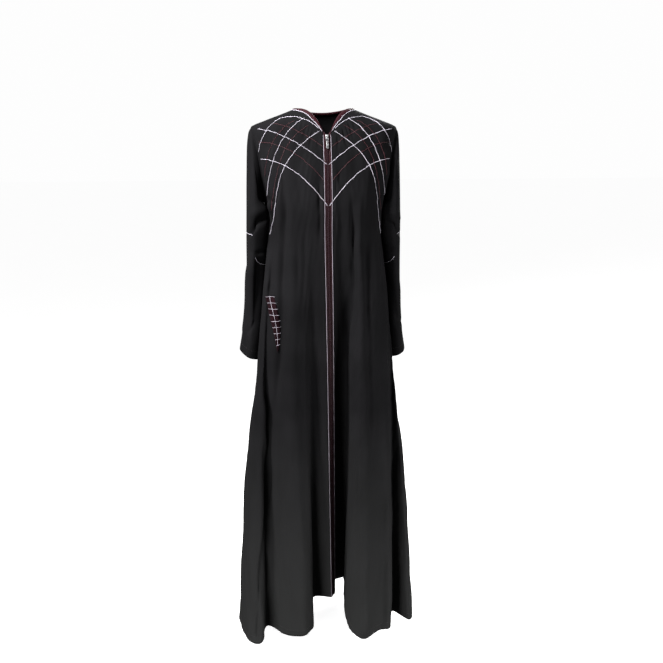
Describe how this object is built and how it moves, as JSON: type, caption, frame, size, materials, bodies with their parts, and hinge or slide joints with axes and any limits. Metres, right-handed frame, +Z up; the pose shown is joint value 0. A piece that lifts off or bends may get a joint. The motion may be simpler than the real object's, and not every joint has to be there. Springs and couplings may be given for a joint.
{
  "type": "full-length zip-front abaya, worn",
  "caption": "Full-length, long-sleeved black crepe robe, worn and hollow, with a front zip, piped neck, crossing piped lines on the yoke and a checked pocket welt.",
  "frame": {"origin": "midway between the two neck points, where the shoulders carry the garment", "axes": "+Z up, the front faces -Y, and the wearer's left is +X"},
  "size_m": [0.5059, 0.3836, 1.4626],
  "materials": {
    "black_crepe": "matt crepe",
    "white_piping": "smooth corded piping",
    "wine_satin": "dull satin",
    "checked_welt": "woven check, white lines on dark wine",
    "silver_metal": "polished"
  },
  "bodies": {
    "garment": {"back": "black_crepe", "front_left": "black_crepe", "front_right": "black_crepe", "neck_band": "wine_satin", "piping_elbow_left": "white_piping", "piping_elbow_right": "white_piping", "piping_fall_white_inner_left": "white_piping", "piping_fall_white_inner_right": "white_piping", "piping_fall_white_middle_left": "white_piping", "piping_fall_white_middle_right": "white_piping", "piping_fall_white_outer_left": "white_piping", "piping_fall_white_outer_right": "white_piping", "piping_fall_wine_inner_left": "wine_satin", "piping_fall_wine_inner_right": "wine_satin", "piping_fall_wine_outer_left": "wine_satin", "piping_fall_wine_outer_right": "wine_satin", "piping_neck": "white_piping", "piping_rise_white_lower_left": "white_piping", "piping_rise_white_lower_right": "white_piping", "piping_rise_white_upper_left": "white_piping", "piping_rise_white_upper_right": "white_piping", "piping_rise_wine_middle_left": "wine_satin", "piping_rise_wine_middle_right": "wine_satin", "piping_rise_wine_upper_left": "wine_satin", "piping_rise_wine_upper_right": "wine_satin", "piping_tip_white_lower_left": "white_piping", "piping_tip_white_lower_right": "white_piping", "piping_tip_white_upper_left": "white_piping", "piping_tip_white_upper_right": "white_piping", "piping_zip_left": "white_piping", "piping_zip_right": "white_piping", "pocket_welt_right": "checked_welt", "sleeve_left": "black_crepe", "sleeve_right": "black_crepe", "zip_band_left": "wine_satin", "zip_band_right": "wine_satin", "zip_slider": "silver_metal"},
    "pull_tab": {"zip_pull_tab": "silver_metal"}
  },
  "joints": [
    {"name": "pull_tab_hinge", "type": "hinge", "parent": "garment", "child": "pull_tab", "pos_m": [0, -0.09857, -0.0723], "axis": [-1, 0, 0], "range_deg": [0, 150]}
  ]
}
